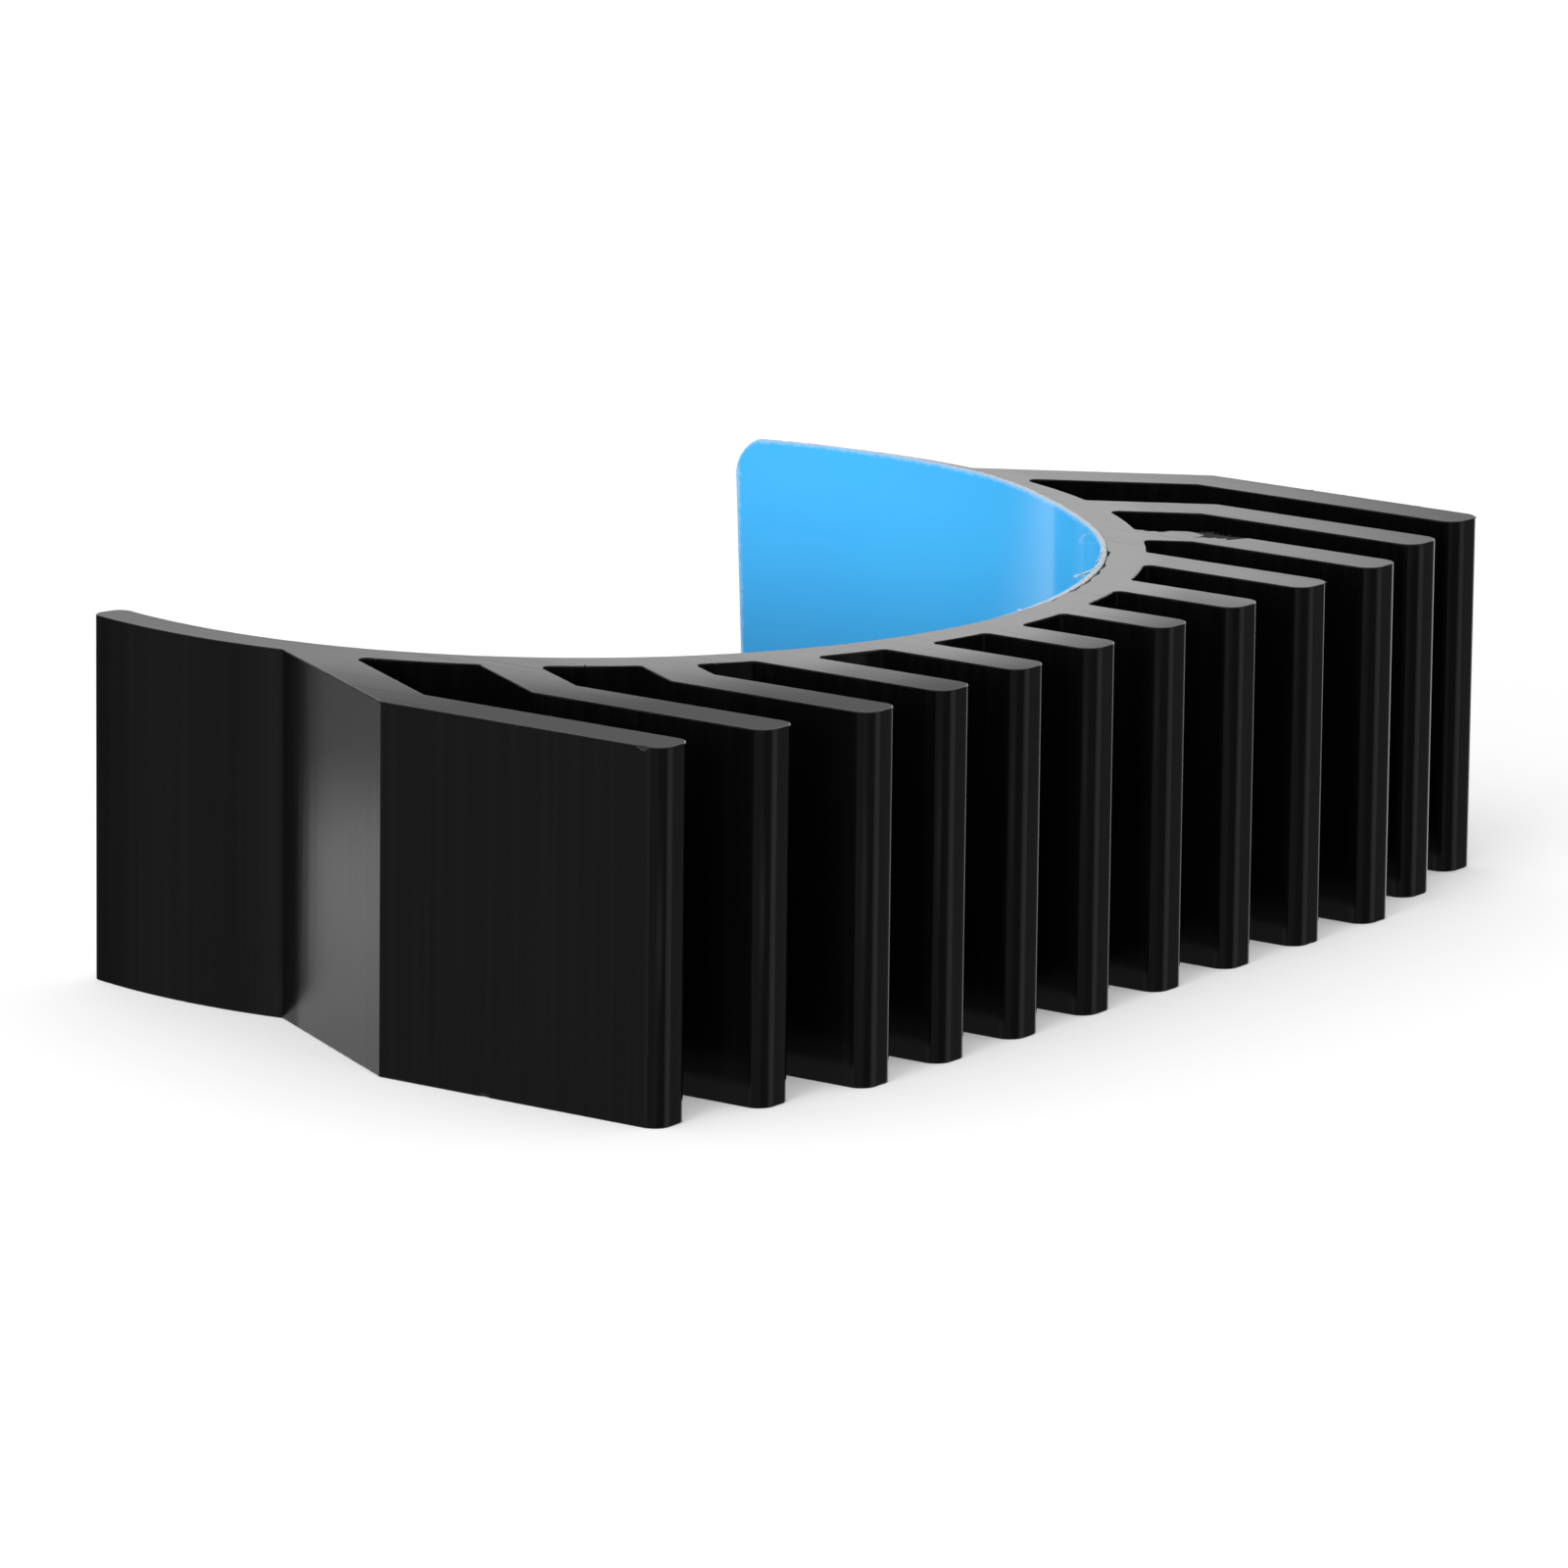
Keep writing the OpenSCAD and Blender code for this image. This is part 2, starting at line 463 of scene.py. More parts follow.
def new_object(name, data):
    made = bpy.data.objects.new(name, data)
    bpy.context.scene.collection.objects.link(made)
    return made


def plain_mesh(source, name):
    """The evaluated mesh of an object, which is then removed."""
    bpy.context.view_layer.update()
    evaluated = source.evaluated_get(bpy.context.evaluated_depsgraph_get())
    mesh = bpy.data.meshes.new_from_object(evaluated)
    mesh.name = name
    old = source.data
    bpy.data.objects.remove(source)
    bpy.data.meshes.remove(old)
    return mesh


def seat_piece(piece, slot, *nodes):
    """Ride on the one body and stand for CAD nodes; the finish's slot is not used."""
    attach(piece, "root")
    if nodes:
        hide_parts(*nodes)


def group_inputs(group, kind, names):
    for name in names:
        group.interface.new_socket(name, in_out="INPUT", socket_type=kind)


def new_group(name, numbers, counts):
    """Geometry group with geometry in and out, its tree, and its other inputs by name."""
    group = bpy.data.node_groups.new(name, "GeometryNodeTree")
    group_inputs(group, "NodeSocketGeometry", ["Geometry"])
    group_inputs(group, "NodeSocketFloat", numbers)
    group_inputs(group, "NodeSocketInt", counts)
    group_inputs(group, "NodeSocketMaterial", ["Material"])
    group.interface.new_socket("Geometry", in_out="OUTPUT", socket_type="NodeSocketGeometry")
    tree = Tree(group)
    given = tree.add("NodeGroupInput")
    return group, tree, {name: given.out(name) for name in ("Geometry", *numbers, *counts, "Material")}


def close_group(tree, geometry, material):
    """End a geometry group in real geometry with its material."""
    whole = tree.add("GeometryNodeRealizeInstances", {}, {"Geometry": geometry})
    painted = tree.add("GeometryNodeSetMaterial", {}, {"Geometry": whole, "Material": material})
    tree.add("NodeGroupOutput", {}, {"Geometry": painted})


def run_group(name, mesh, group, values):
    """Plain mesh that a geometry group makes from a mesh, its inputs set by their identifiers."""
    source = new_object(name + "_source", mesh)
    modifier = source.modifiers.new(group.name, "NODES")
    modifier.node_group = group
    for item in group.interface.items_tree:
        if item.in_out == "INPUT" and item.name in values:
            modifier[item.identifier] = values[item.name]
    return plain_mesh(source, name)


# Sawn extrusion

def upper_outline(node):
    """Outline of a CAD node's upper face, anticlockwise seen from above."""
    mesh = bmesh.new()
    mesh.from_mesh(frame["nodes"][node].data)
    bmesh.ops.remove_doubles(mesh, verts=mesh.verts, dist=WELD)
    mesh.normal_update()
    mesh.verts.index_update()
    following = {}
    for face in mesh.faces:
        if face.normal.z > FLAT:
            for loop in face.loops:
                if loop.link_loop_radial_next.face.normal.z < FLAT:
                    following[loop.vert.index] = loop.link_loop_next.vert
    points = []
    index = next(iter(following))
    for _ in following:
        points.append(following[index].co.xy)
        index = following[index].index
    mesh.free()
    return points


def around(items):
    """Each item of a closed loop with the ones before and after it."""
    return zip(items[-1:] + items[:-1], items, items[1:] + items[:1])


def finer(points, step):
    """The loop with no stretch longer than step, where arcs about the motor axis stay round."""
    made = []
    for _, point, after in around(points):
        count = max(1, math.ceil((after - point).length / step))
        on_arc = abs(point.length - after.length) < WELD
        for part in range(count):
            between = point.lerp(after, part / count)
            made.append(between.normalized() * point.length if on_arc else between)
    return made


def outward(points):
    """Directions out of the metal, longer at corners so that an inset keeps its depth."""
    made = []
    for before, point, after in around(points):
        come = (point - before).normalized()
        leave = (after - point).normalized()
        out = Vector((come.y + leave.y, -come.x - leave.x)).normalized()
        made.append(out / max(out.dot(Vector((leave.y, -leave.x))), MITRE_LIMIT))
    return made


def chipped(point, drop, upper):
    """How far wear takes the metal back at a point of the outline, at a drop from the sawn face."""
    grain = noise.noise(Vector((point.x, point.y, 0.0)) / CHIP_GRAIN)
    most = 0.0
    for mark in WEAR:
        away = (point / MM - Vector((mark.x, mark.y))).length / mark.half
        if mark.upper == upper and away < 1.0:
            left = max(0.0, 1.0 - drop / (mark.depth * MM * (1.0 - away ** 2)))
            most = max(most, mark.bite * left * (1.0 - away ** 4) * (0.75 + 0.6 * grain))
    return most * MM


def edge_rows(settings):
    """Drop from the sawn face and inset of each row of points, from the wall to the face."""
    straight = [(drop * MM, 0.0) for drop in EDGE_DROPS]
    break_r = settings.edge_break
    arc = [math.radians(turn) for turn in EDGE_TURNS]
    rounded = [(break_r * (1 - math.sin(turn)), break_r * (1 - math.cos(turn))) for turn in arc]
    return straight + rounded


def sawn_rows(settings, points, upper):
    """Places and chip depths of the rows at one end of the extrusion, from the wall to the sawn face."""
    out = outward(points)
    rows = []
    for drop, inset in edge_rows(settings):
        z = CUT_LENGTH - drop if upper else drop
        row = []
        for point, direction in zip(points, out):
            tear = noise.noise(Vector((point.x, point.y, float(upper))) / TEAR_SIZE)
            uneven = settings.ragged * tear if inset > 0.0 else 0.0
            chip = chipped(point, drop, upper)
            place = point - direction * (inset + uneven + chip)
            row.append(((place.x, place.y, z), chip))
        rows.append(row)
    return rows


def anodised_material(settings):
    """Satin black anodising with fine lines along the drawn length."""
    material, tree, place = new_material("black_anodised_drawn")
    along = tree.mapped(place, (1.0, 1.0, 0.015))
    lines = tree.noise(along, 0.09 * MM, 3.0)
    bands = tree.noise(along, 0.3 * MM, 2.0)
    cloud = tree.noise(place, 3.0 * MM, 3.0)
    streak = tree.ramp(bands, 0.42, 0.68)
    base = tree.blend(streak, colour(settings.anodised), colour(settings.anodised, 1.6))
    rough = 0.11 + 0.05 * lines + 0.04 * cloud
    normal = tree.bump(0.4 * lines + 0.6 * bands, 0.006 * MM, 0.7)
    surface(tree, {"Base Color": base, "Roughness": rough, "Normal": normal, "IOR": METAL_IOR})
    return material


def sawn_material(settings):
    """Anodised saw cut with fine slanting lines, smoother by the crown and far side, where a painted
    sheen also lightens its colour.
    """
    material, tree, place = new_material("black_anodised_sawn")
    across = tree.mapped(place, (0.04, 1.0, 1.0), -settings.saw_turn)
    lines = tree.noise(across, 0.07 * MM, 4.0, 0.65)
    broad = tree.noise(across, 0.6 * MM, 2.0)
    grain = tree.noise(place, 0.05 * MM, 2.0)
    scores = tree.noise(tree.mapped(place, (0.012, 1.0, 1.0), -settings.saw_turn), 0.14 * MM, 1.0)
    scratch = tree.ramp(scores, 0.62, 0.72)
    level = tree.level(place)
    out = tree.length(level)
    way = tree.vector_math("NORMALIZE", level)
    waver = (tree.noise(place, 5.0 * MM, 2.0) - 0.5) * (3.0 * MM)
    inner = tree.ramp(out + waver, 25.5 * MM, 18.5 * MM)
    by_crown = inner * tree.ramp(tree.facing(way, settings.crown_turn), -0.9, 1.0, 0.42, 1.0)
    far = tree.ramp(tree.facing(way, settings.far_turn), 0.25, 0.75, 0.0, 0.85)
    crown = by_crown.math("MAXIMUM", far * tree.ramp(out, 36.0 * MM, 20.0 * MM))
    height = 0.6 * lines + 0.3 * broad + 0.1 * grain
    dull = tree.blend(tree.ramp(lines, 0.4, 0.75), colour(settings.sawn, 0.5), colour(settings.sawn, 1.5))
    # Painted sheen: by the crown and far side the colour is lightened six to nine times, standing in for
    # the brighter reflection of the smoother cut.
    sheen_lines = tree.ramp(lines, 0.35, 0.7)
    painted_sheen = tree.blend(sheen_lines, colour(settings.sawn, 6.0), colour(settings.sawn, 9.0))
    base = tree.blend(scratch * 0.5, tree.blend(crown, dull, painted_sheen), colour(settings.sawn))
    rough = 0.56 - 0.38 * crown + 0.1 * lines + 0.06 * scratch
    normal = tree.bump(height, 0.003 * MM, 0.4)
    surface(tree, {"Base Color": base, "Roughness": rough, "Normal": normal, "IOR": METAL_IOR})
    return material


def torn_material(settings):
    """Crumbled metal in a chip or a burr."""
    material, tree, place = new_material("black_anodised_torn")
    grain = tree.noise(place, 0.06 * MM, 4.0, 0.7)
    base = tree.blend(grain, colour(settings.torn, 0.2), colour(settings.torn))
    normal = tree.bump(grain, 0.03 * MM)
    rough = 0.7 + 0.2 * grain
    surface(tree, {"Base Color": base, "Roughness": rough, "Normal": normal, "Specular IOR Level": 0.05})
    return material


class HEATSINK_OT_extrusion(Operator):
    """Build the sawn length of finned extrusion from its profile"""

    bl_idname = "heat_sink.extrusion"
    bl_label = "Sawn extrusion"

    def execute(self, context):
        settings = context.scene.heat_sink_extrusion
        points = finer(upper_outline("finned_body"), settings.outline_step)
        rows = sawn_rows(settings, points, False)[::-1] + sawn_rows(settings, points, True)
        build = bmesh.new()
        verts = [[build.verts.new(place) for place, _ in row] for row in rows]
        for level in range(len(rows) - 1):
            below, above = verts[level], verts[level + 1]
            low, high = rows[level], rows[level + 1]
            for index in range(len(points)):
                after = (index + 1) % len(points)
                face = build.faces.new((below[index], below[after], above[after], above[index]))
                corners = (low[index], low[after], high[after], high[index])
                torn = sum(chip > TORN_FROM for _, chip in corners)
                face.material_index = TORN if torn > 1 else DRAWN
        for ring in (verts[0][::-1], verts[-1]):
            cap = build.faces.new(ring)
            cap.material_index = SAWN
        mesh = bpy.data.meshes.new("sawn_extrusion")
        build.to_mesh(mesh)
        build.free()
        for material in (anodised_material(settings), sawn_material(settings), torn_material(settings)):
            mesh.materials.append(material)
        mesh.set_sharp_from_angle(angle=SHARP_TURN)
        for face in mesh.polygons:
            face.use_smooth = face.material_index == DRAWN
        seat_piece(new_object("sawn_extrusion", mesh), "black_anodised", "finned_body")
        return {"FINISHED"}


# Tape and film

def seat_sheet_group():
    """Geometry group for a strip on the curved seat, with rounded corners and an uneven cut edge."""
    group, tree, size = new_group(
        "seat_sheet",
        ("Radius", "Near Angle", "Far Angle", "Low", "Tilt", "Near Top", "Crown Rise", "Far Rise",
         "Corner Width", "Corner Height", "Ragged", "Dip", "Lean", "Wave", "Seed"),
        ("Columns", "Rows"))
    counts = {"Size X": 1.0, "Size Y": 1.0, "Vertices X": size["Columns"], "Vertices Y": size["Rows"]}
    grid = tree.add("GeometryNodeMeshGrid", {}, counts, "Mesh")
    x, y, _ = tree.parts(tree.add("GeometryNodeInputPosition"))
    share = x + 0.5
    share = share - (share * math.tau).math("SINE") * (0.5 / math.tau)
    up = y + 0.5
    angle = share * (size["Near Angle"] + size["Far Angle"]) - size["Near Angle"]
    from_far = (size["Far Angle"] - angle) * size["Radius"]
    from_near = (size["Near Angle"] + angle) * size["Radius"]
    from_end = from_far.math("MINIMUM", from_near)
    into = 1.0 - from_end.math("DIVIDE", size["Corner Width"]).math("MINIMUM", 1.0)
    rest = (1.0 - into.math("MAXIMUM", 0.0).math("POWER", CORNER_POWER)).math("MAXIMUM", 0.0)
    drop = size["Corner Height"] * (1.0 - rest.math("POWER", 1.0 / CORNER_POWER))
    run = angle * size["Radius"]
    coarse = tree.noise(tree.vector(run, size["Seed"], 0.0), 0.9 * MM, 3.0, 0.7) - 0.5
    fine = tree.noise(tree.vector(run, size["Seed"], 1.0), 0.2 * MM, 3.0, 0.7) - 0.5
    uneven = (coarse + fine) * size["Ragged"]
    crown = tree.ramp(angle, math.radians(CROWN_FROM), math.radians(CROWN_TO)) * size["Crown Rise"]
    far = tree.ramp(angle, math.radians(FAR_FROM), math.radians(FAR_TO)) * size["Far Rise"]
    enter = tree.ramp(angle, math.radians(DIP_FROM), math.radians(DIP_DEEPEST))
    leave = tree.ramp(angle, math.radians(DIP_TO), math.radians(DIP_DEEPEST))
    dip = size["Dip"] * enter * leave
    top = size["Near Top"] + crown + far - drop + uneven - dip
    slope = angle.math("SINE") * size["Radius"] * size["Tilt"].math("TANGENT")
    low = size["Low"] + slope + drop + uneven * 0.5
    z = low + (top - low) * up
    end_lean = size["Lean"] * (up - 0.5) * tree.ramp(from_far, LEAN_RUN, 0.0)
    wave = tree.noise(tree.vector(run, z, size["Seed"]), 5.0 * MM, 1.0) * size["Wave"]
    radius = size["Radius"] + wave
    turned = angle + end_lean
    place = tree.vector(radius * turned.math("COSINE"), radius * turned.math("SINE"), z)
    marked = grid
    kind = {"data_type": "FLOAT", "domain": "POINT"}
    for name, value in (("below_top", top - z), ("from_end", from_far)):
        stored = {"Geometry": marked, "Name": name, "Value": value}
        marked = tree.add("GeometryNodeStoreNamedAttribute", kind, stored)
    bent = tree.add("GeometryNodeSetPosition", {}, {"Geometry": marked, "Position": place})
    close_group(tree, bent, size["Material"])
    return group


def seat_sheet(name, values, thickness, edge):
    """A strip on the seat with its thickness outwards and its own cut edge."""
    group = bpy.data.node_groups.get("seat_sheet") or seat_sheet_group()
    flat = run_group(name + "_flat", bpy.data.meshes.new(name + "_source"), group, values)
    flat.materials.append(edge)
    solid = new_object(name + "_solid", flat)
    wall = solid.modifiers.new("thickness", "SOLIDIFY")
    wall.thickness = thickness
    wall.offset = 1.0
    wall.use_even_offset = True
    wall.material_offset_rim = 1
    mesh = plain_mesh(solid, name)
    mesh.shade_smooth()
    mesh.set_sharp_from_angle(angle=SHEET_SHARP_TURN)
    return new_object(name, mesh)


def tape_material(settings):
    """White fibrous tape, matt, with mottled darkening on the side by the metal up to the crown."""
    material, tree, place = new_material("white_thermal_tape")
    fibre = tree.noise(tree.mapped(place, (1.0, 1.0, 0.3)), 0.08 * MM, 4.0, 0.7)
    clean = tree.blend(tree.ramp(fibre, 0.3, 0.6), colour(settings.tape, 0.7), colour(settings.tape))
    # Mottled darkening along the side by the metal, fading out between 30 and 45 degrees from the middle
    # plane.
    dark_mottle = tree.ramp(tree.noise(place, 0.45 * MM, 3.0, 0.6), 0.5, 0.62)
    by_metal = tree.ramp(tree.length(tree.level(place)), TAPE_R + 0.02 * MM, SEAT_R - 0.02 * MM)
    darkened_edge = dark_mottle * by_metal * tree.ramp(tree.turn(place), math.radians(45), math.radians(30))
    base = tree.blend(darkened_edge * 0.7, clean, colour(settings.tape_dark_edge))
    normal = tree.bump(fibre, 0.02 * MM, 0.8)
    surface(tree, {"Base Color": base, "Roughness": 0.7 + 0.2 * fibre, "Normal": normal})
    return material


def film_material(settings):
    """Glossy blue release film with painted shade that darkens it downwards, and a pale rubbed border by
    its cut edges.
    """
    material, tree, place = new_material("blue_release_film")
    cloud = tree.noise(place, 4.0 * MM, 2.0)
    grain = tree.noise(place, 0.15 * MM, 2.0)
    height = tree.parts(place)[2]
    deep = tree.blend(tree.ramp(cloud, 0.3, 0.7), colour(settings.film), colour(settings.film, 1.04))
    # Painted shade: the colour darkens from 9.5 mm down to 3 mm, where less light reaches the film's
    # lower part.
    body = tree.blend(tree.ramp(height, 9.5 * MM, 3.0 * MM), deep, colour(settings.film, 0.74))
    edge = tree.attribute("below_top").math("MINIMUM", tree.attribute("from_end"))
    border = tree.ramp(edge + (grain - 0.5) * (0.2 * MM), 0.16 * MM, 0.0)
    pale = paler(settings.film, 0.45, 0.5)
    turn = tree.turn(place)
    across = (turn - HOOK_TURN) * (1.0 / HOOK_HALF_TURN)
    over = (height - HOOK_FOOT + (turn - HOOK_TURN) * HOOK_SLANT) * (1.0 / HOOK_RISE)
    ring = ((across * across + over * over).math("SQRT") - 1.0).math("ABSOLUTE")
    hook = tree.ramp(ring, 0.2, 0.0) * tree.ramp(over, -0.1, 0.1)
    foot = tree.ramp(over.math("ABSOLUTE"), 0.14, 0.0) * tree.ramp(across.math("ABSOLUTE"), 1.0, 0.8)
    rubbed = (border * 0.55).math("MAXIMUM", hook * 0.32).math("MAXIMUM", foot * 0.12)
    base = tree.blend(rubbed, body, pale)
    normal = tree.bump(grain, 0.001 * MM, 0.3)
    rough = 0.07 + 0.03 * cloud
    surface(tree, {"Base Color": base, "Roughness": rough, "Normal": normal, "IOR": FILM_IOR})
    return material


def film_edge_highlight_material(settings):
    """Cut edge of the film, painted pale as a highlight of light piped through the film."""
    material, tree, place = new_material("blue_film_edge_highlight")
    grain = tree.noise(place, 0.1 * MM, 3.0)
    # Painted highlight: the pale colour stands in for light glowing through the film's cut edge.
    pale = paler(settings.film, 0.5, 0.45)
    base = tree.blend(grain, colour(settings.film), pale)
    surface(tree, {"Base Color": base, "Roughness": 0.35 + 0.2 * grain, "IOR": FILM_IOR})
    return material


def sheet_values(settings):
    """Group inputs that the tape and the film share."""
    return {
        "Near Angle": settings.near_angle,
        "Far Angle": settings.far_angle,
        "Low": TAPE_LOW.z + SEAT_R * math.tan(settings.tilt),
        "Tilt": settings.tilt,
        "Near Top": settings.near_top,
        "Crown Rise": settings.crown_rise,
        "Far Rise": settings.far_rise,
        "Corner Width": settings.corner_width,
        "Corner Height": settings.corner_height,
        "Lean": END_LEAN,
        "Columns": settings.columns,
        "Rows": settings.rows,
    }


class HEATSINK_OT_tape(Operator):
    """Lay the white thermal tape on the seat"""

    bl_idname = "heat_sink.tape"
    bl_label = "Thermal tape"

    def execute(self, context):
        settings = context.scene.heat_sink_pad
        tape = tape_material(settings)
        values = {
            **sheet_values(settings),
            "Radius": TAPE_R,
            "Ragged": settings.tape_ragged,
            "Seed": TAPE_SEED,
            "Material": tape,
        }
        piece = seat_sheet("tape_strip", values, SEAT_R - TAPE_R, tape)
        seat_piece(piece, "white_tape", "thermal_tape")
        return {"FINISHED"}


class HEATSINK_OT_film(Operator):
    """Lay the blue release film on the tape"""

    bl_idname = "heat_sink.film"
    bl_label = "Release film"

    def execute(self, context):
        settings = context.scene.heat_sink_pad
        values = {
            **sheet_values(settings),
            "Radius": FILM_R,
            "Ragged": FILM_SHARE * settings.tape_ragged,
            "Seed": FILM_SEED,
            "Dip": settings.film_dip,
            "Wave": FILM_WAVE,
            "Material": film_material(settings),
        }
        piece = seat_sheet("film_sheet", values, TAPE_R - FILM_R, film_edge_highlight_material(settings))
        seat_piece(piece, "blue_film", "release_film")
        return {"FINISHED"}


# Burrs and crumbs along the edges

def edge_grit_group():
    """Geometry group that strews small uneven grains along the edges of a mesh."""
    group, tree, size = new_group(
        "edge_grit", ("Spacing", "Missing", "Smallest", "Largest", "Scatter", "Flatness"), ("Seed",))
    path = tree.add("GeometryNodeMeshToCurve", {}, {"Mesh": size["Geometry"]})
    every = {"Curve": path, "Length": size["Spacing"]}
    points = tree.add("GeometryNodeCurveToPoints", {"mode": "LENGTH"}, every)

    def draw(kind, sockets, out, turn):
        seed = size["Seed"].math("ADD", float(turn))
        return tree.add("FunctionNodeRandomValue", {"data_type": kind}, {**sockets, "Seed": seed}, out)

    dropped = {"Geometry": points, "Selection": draw("BOOLEAN", {"Probability": size["Missing"]}, 3, 1)}
    kept = tree.add("GeometryNodeDeleteGeometry", {"domain": "POINT"}, dropped)
    shift = draw("FLOAT_VECTOR", {0: (-1.0, -1.0, -0.6), 1: (1.0, 1.0, 0.6)}, 0, 2)
    scatter = size["Scatter"]
    offset = tree.vector_math("MULTIPLY", shift, tree.vector(scatter, scatter, scatter))
    strewn = tree.add("GeometryNodeSetPosition", {}, {"Geometry": kept, "Offset": offset})
    grain = tree.add("GeometryNodeMeshIcoSphere", {}, {"Radius": 1.0, "Subdivisions": 2}, "Mesh")
    turned = draw("FLOAT_VECTOR", {0: (0.0, 0.0, 0.0), 1: (0.6, 0.6, math.tau)}, 0, 3)
    luck = draw("FLOAT", {2: 0.0, 3: 1.0}, 1, 4).math("POWER", 4.0)
    half = (size["Smallest"] + luck * (size["Largest"] - size["Smallest"])) * 0.5
    form = draw("FLOAT_VECTOR", {0: (0.8, 0.4, 0.4), 1: (1.4, 0.8, 0.8)}, 0, 5)
    scale = tree.vector_math("MULTIPLY", form, tree.vector(half, half, half * size["Flatness"]))
    placed = {"Points": strewn, "Instance": grain, "Rotation": turned, "Scale": scale}
    grains = tree.add("GeometryNodeInstanceOnPoints", {}, placed)
    real = tree.add("GeometryNodeRealizeInstances", {}, {"Geometry": grains})
    dent = tree.noise(tree.add("GeometryNodeInputPosition"), 0.05 * MM, 2.0, 0.6, "Color")
    centred = tree.vector_math("SUBTRACT", dent, (0.5, 0.5, 0.5))
    push = tree.vector_math("MULTIPLY", centred, (GRAIN_DENT, GRAIN_DENT, GRAIN_DENT))
    rough = tree.add("GeometryNodeSetPosition", {}, {"Geometry": real, "Offset": push})
    close_group(tree, rough, size["Material"])
    return group


def run_mesh(name, runs):
    """Mesh of bare edges along each run of places."""
    places = []
    edges = []
    for run in runs:
        start = len(places)
        places += run
        edges += [(index, index + 1) for index in range(start, len(places) - 1)]
    mesh = bpy.data.meshes.new(name)
    mesh.from_pydata(places, edges, [])
    return mesh


def burr_runs(settings):
    """Short stretches of the upper sawn edge that carry burrs."""
    points = finer(upper_outline("finned_body"), settings.outline_step)
    pick = random.Random(STRAY_SEED)
    middles = [Vector(place) * MM for place in BURR_PLACES]
    middles += [pick.choice(points) for _ in range(STRAY_BURRS)]
    runs = []
    for order, middle in enumerate(middles):
        reach = BURR_REACH if order < len(BURR_PLACES) else settings.outline_step * STRAY_STEPS
        close = [point for point in points if (point - middle).length < reach]
        if len(close) > 1:
            runs.append([(point.x, point.y, CUT_LENGTH - BURR_SINK) for point in close])
    return runs


def smooth_share(value, low, high):
    """Share from 0 to 1 as value goes smoothly from low to high."""
    share = min(1.0, max(0.0, (value - low) / (high - low)))
    return share * share * (3.0 - 2.0 * share)


def pad_run(settings, start, end, start_r, end_r):
    """Places along the tape's upper edge between two angles in degrees and two radii."""
    run = []
    for step in range(RUN_STEPS + 1):
        share = step / RUN_STEPS
        angle = start + (end - start) * share
        crown = smooth_share(angle, CROWN_FROM, CROWN_TO) * settings.crown_rise
        radius = start_r + (end_r - start_r) * share
        turn = math.radians(angle)
        run.append((radius * math.cos(turn), radius * math.sin(turn), settings.near_top + crown))
    return run


def crumb_runs(settings):
    """Short stretches of the tape's edge that crumbled when it was cut."""
    middle = (TAPE_R + FILM_R) / 2
    ends = [(turn - CRUMB_TURN, turn + CRUMB_TURN) for turn in CRUMB_ANGLES]
    return [pad_run(settings, start, end, middle, middle) for start, end in ends]


def strew(name, runs, values):
    """Grains along runs of places, as one piece."""
    group = bpy.data.node_groups.get("edge_grit") or edge_grit_group()
    mesh = run_group(name, run_mesh(name + "_path", runs), group, values)
    return new_object(name, mesh)


class HEATSINK_OT_grit(Operator):
    """Strew the burrs of the saw cut and the crumbs of the tape"""

    bl_idname = "heat_sink.grit"
    bl_label = "Burrs and crumbs"

    def execute(self, context):
        metal = context.scene.heat_sink_extrusion
        pad = context.scene.heat_sink_pad
        burrs = {
            "Spacing": 0.06 * MM,
            "Missing": 0.35,
            "Smallest": 0.03 * MM,
            "Largest": 0.12 * MM,
            "Scatter": 0.02 * MM,
            "Flatness": 0.6,
            "Seed": 11,
            "Material": bpy.data.materials["black_anodised_torn"],
        }
        seat_piece(strew("saw_burrs", burr_runs(metal), burrs), "black_anodised")
        crumbs = {
            "Spacing": 0.08 * MM,
            "Missing": 0.55,
            "Smallest": 0.04 * MM,
            "Largest": pad.crumb,
            "Scatter": 0.06 * MM,
            "Flatness": 0.8,
            "Seed": 23,
            "Material": bpy.data.materials["white_thermal_tape"],
        }
        seat_piece(strew("tape_crumbs", crumb_runs(pad), crumbs), "white_tape")
        sliver = {
            **crumbs,
            "Spacing": 0.03 * MM,
            "Missing": 0.1,
            "Smallest": 0.08 * MM,
            "Largest": 0.13 * MM,
            "Scatter": 0.03 * MM,
        }
        loose = pad_run(pad, *SLIVER_ANGLES, FILM_R - SLIVER_LIFT, TAPE_R)
        seat_piece(strew("tape_sliver", [loose], sliver), "white_tape")
        return {"FINISHED"}


# Studio

def aim_camera(settings):
    """Camera at the photograph's place, with its roll."""
    data = bpy.data.cameras.new("photo_camera")
    data.lens = settings.lens
    data.sensor_width = SENSOR_WIDTH
    data.clip_start = CLIP_START
    camera = new_object("photo_camera", data)
    eye = Vector(settings.eye)
    forward = (Vector(settings.aim) - eye).normalized()
    level = forward.cross(Vector((0.0, 0.0, 1.0))).normalized()
    over = level.cross(forward)
    right = level * math.cos(settings.roll) + over * math.sin(settings.roll)
    up = over * math.cos(settings.roll) - level * math.sin(settings.roll)
    turn = Matrix((right, up, -forward)).transposed()
    camera.matrix_world = Matrix.Translation(eye) @ turn.to_4x4()
    bpy.context.scene.camera = camera


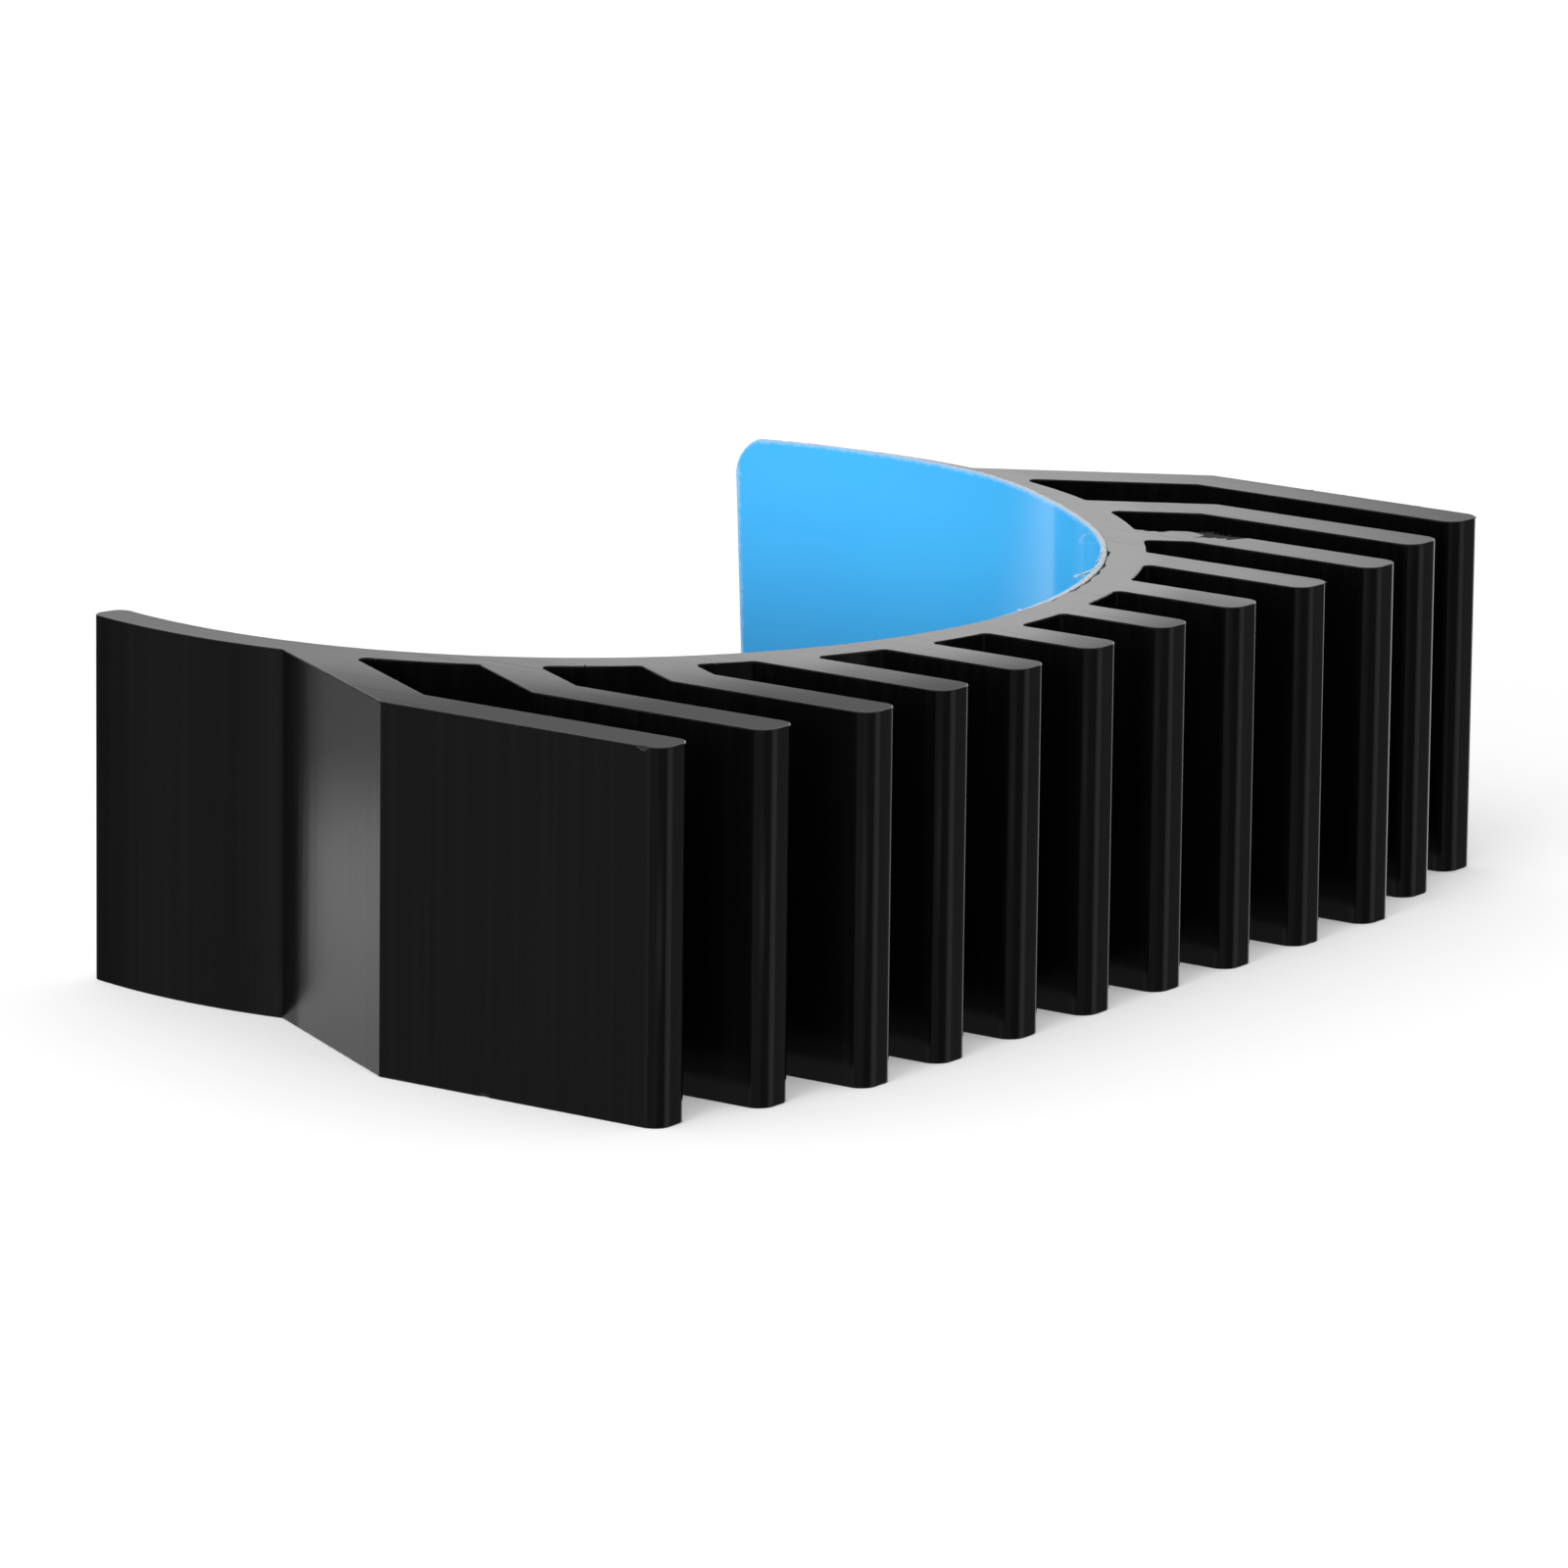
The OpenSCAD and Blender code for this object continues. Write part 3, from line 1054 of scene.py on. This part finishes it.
def light_world(settings):
    """White behind the object, an even fill on matt surfaces and white cards for the gloss."""
    world = bpy.data.worlds.new("studio")
    world.use_nodes = True
    world.node_tree.nodes.clear()
    tree = Tree(world.node_tree)
    direction = tree.add("ShaderNodeTexCoord", {}, {}, "Generated")
    level = tree.vector_math("NORMALIZE", tree.level(direction))
    seen = tree.ramp(tree.parts(direction)[2], 0.45, 0.9, settings.room, settings.above)
    for card in CARDS:
        turn, half, soft = (math.radians(angle) for angle in card[:3])
        edge = math.cos(half + soft)
        full = math.cos(max(0.0, half - soft))
        shown = tree.ramp(tree.facing(level, turn), edge, full, 0.0, card.strength)
        seen = seen.math("MAXIMUM", shown)
    path = tree.add("ShaderNodeLightPath", {}, {}, "Is Camera Ray")
    glossy = path.out("Is Glossy Ray").math("MAXIMUM", path.out("Is Transmission Ray"))
    lit = glossy * seen + (1.0 - glossy) * settings.fill
    strength = path + (1.0 - path) * lit
    glow = tree.add("ShaderNodeBackground", {}, {"Color": WHITE, "Strength": strength})
    tree.add("ShaderNodeOutputWorld", {}, {"Surface": glow})
    bpy.context.scene.world = world


def lay_floor(settings):
    """Pale floor that takes the object's shadow, and with painted shade throws less light back from close
    by.
    """
    build = bmesh.new()
    bmesh.ops.create_circle(build, cap_ends=True, segments=FLOOR_SIDES, radius=FLOOR_R)
    mesh = bpy.data.meshes.new("pale_floor")
    build.to_mesh(mesh)
    build.free()
    material, tree, place = new_material("pale_floor")
    camera = tree.add("ShaderNodeLightPath", {}, {}, "Is Camera Ray")
    # Painted shade: close by, the floor is darker for the light it throws back, which shades the film's
    # lower part.
    away = tree.ramp(tree.length(place), 20.0 * MM, 70.0 * MM)
    bounce_painted_shade = tree.blend(away, colour(settings.floor, 0.3), colour(settings.floor))
    base = tree.blend(camera, bounce_painted_shade, colour(settings.floor))
    glow = tree.add("ShaderNodeEmission", {}, {"Color": WHITE, "Strength": camera * settings.lift})
    matt = tree.add("ShaderNodeBsdfDiffuse", {}, {"Color": base})
    both = tree.add("ShaderNodeAddShader", {}, {0: matt, 1: glow})
    tree.add("ShaderNodeOutputMaterial", {}, {"Surface": both})
    mesh.materials.append(material)
    floor = new_object("pale_floor", mesh)
    floor.visible_glossy = False


def lay_gloss(name, corners, material, tree, shown, strength):
    """A sheet on the floor that only the gloss sees, clear where it isn't shown."""
    mesh = bpy.data.meshes.new(name)
    places = [(x * MM, y * MM, -SHEET_DROP) for x, y in corners]
    mesh.from_pydata(places, [], [tuple(range(len(places)))])
    glow = tree.add("ShaderNodeEmission", {}, {"Color": WHITE, "Strength": strength})
    clear = tree.add("ShaderNodeBsdfTransparent")
    mixed = tree.add("ShaderNodeMixShader", {}, {0: shown, 1: clear, 2: glow})
    tree.add("ShaderNodeOutputMaterial", {}, {"Surface": mixed})
    mesh.materials.append(material)
    sheet = new_object(name, mesh)
    sheet.visible_camera = False
    sheet.visible_diffuse = False
    sheet.visible_shadow = False
    sheet.visible_transmission = False


def lay_near_sheet():
    """White sheet by the near wing, which shows only in the near fin's sloping root."""
    # The length of a ray tells the root from the wing and from the corner between the two
    material, tree, place = new_material("near_sheet")
    reach = tree.add("ShaderNodeLightPath", {}, {}, "Ray Length")
    x, y, _ = tree.parts(place)
    beside = tree.ramp(y, -19.7 * MM, -20.0 * MM)
    corner_reach = (3.0 * (3.0 * MM - x)).math("MINIMUM", 3.6 * MM) * beside
    slope_reach = (SLOPE_RATE * (4.0 * MM - x)).math("MAXIMUM", corner_reach)
    near = tree.ramp(x, 9.0 * MM, -14.0 * MM, 0.45, 1.0) * tree.ramp(x, -38.0 * MM, -19.0 * MM)
    aside = tree.ramp(reach + SLOPE_RATE * x, 14.0 * MM, 12.0 * MM)
    shown = near * aside * tree.ramp(reach - slope_reach, 0.0, 0.6 * MM)
    lay_gloss("near_sheet", NEAR_CORNERS, material, tree, shown, 1.0)


def lay_far_sheet():
    """White sheet beyond the open side."""
    material, tree, place = new_material("far_sheet")
    shown = tree.ramp(tree.parts(place)[1], 0.0, 20.0 * MM)
    lay_gloss("far_sheet", FAR_CORNERS, material, tree, shown, 1.1)


def lay_front_sheet():
    """Pale round sheet in front of the fins, for the soft lights on their tips."""
    material, tree, place = new_material("front_sheet")
    away = tree.vector_math("DISTANCE", place, FRONT_MIDDLE, out="Value")
    shown = tree.ramp(away, 11.0 * MM, 3.0 * MM, 0.0, 0.85)
    lay_gloss("front_sheet", FRONT_CORNERS, material, tree, shown, 0.35)


def hang_lamp(lamp, aim):
    """Soft square lamp that looks at a point."""
    data = bpy.data.lights.new(lamp.name, "AREA")
    data.size = lamp.size
    data.energy = lamp.power
    made = new_object(lamp.name, data)
    away = Vector(lamp.place) - Vector(aim)
    turn = away.to_track_quat("Z", "Y").to_matrix()
    made.matrix_world = Matrix.Translation(lamp.place) @ turn.to_4x4()
    made.visible_glossy = False


class HEATSINK_OT_studio(Operator):
    """Set the camera, the floor and the light"""

    bl_idname = "heat_sink.studio"
    bl_label = "Studio"

    def execute(self, context):
        settings = context.scene.heat_sink_studio
        context.scene.view_settings.view_transform = "Standard"
        aim_camera(settings)
        light_world(settings)
        lay_floor(settings)
        lay_near_sheet()
        lay_far_sheet()
        lay_front_sheet()
        for lamp in LAMPS:
            hang_lamp(lamp, settings.aim)
        return {"FINISHED"}


class HEATSINK_PT_pieces(Panel):
    """Lists the pieces of the heat sink"""

    bl_idname = "HEATSINK_PT_pieces"
    bl_label = "Heat sink"
    bl_space_type = "VIEW_3D"
    bl_region_type = "UI"
    bl_category = "Heat sink"

    def draw(self, context):
        for operator in OPERATORS:
            self.layout.operator(operator.bl_idname)


OPERATORS = (
    HEATSINK_OT_extrusion, HEATSINK_OT_tape, HEATSINK_OT_film, HEATSINK_OT_grit, HEATSINK_OT_studio,
)
SETTINGS = {
    "heat_sink_extrusion": ExtrusionSettings,
    "heat_sink_pad": PadSettings,
    "heat_sink_studio": StudioSettings,
}


def register():
    for made in (*SETTINGS.values(), *OPERATORS, HEATSINK_PT_pieces):
        bpy.utils.register_class(made)
    for name, kind in SETTINGS.items():
        setattr(bpy.types.Scene, name, PointerProperty(type=kind))


def unregister():
    for name in SETTINGS:
        delattr(bpy.types.Scene, name)
    for made in reversed((*SETTINGS.values(), *OPERATORS, HEATSINK_PT_pieces)):
        bpy.utils.unregister_class(made)


def main():
    register()
    bpy.ops.heat_sink.extrusion()
    bpy.ops.heat_sink.tape()
    bpy.ops.heat_sink.film()
    bpy.ops.heat_sink.grit()
    bpy.ops.heat_sink.studio()


if __name__ == "__main__":
    main()
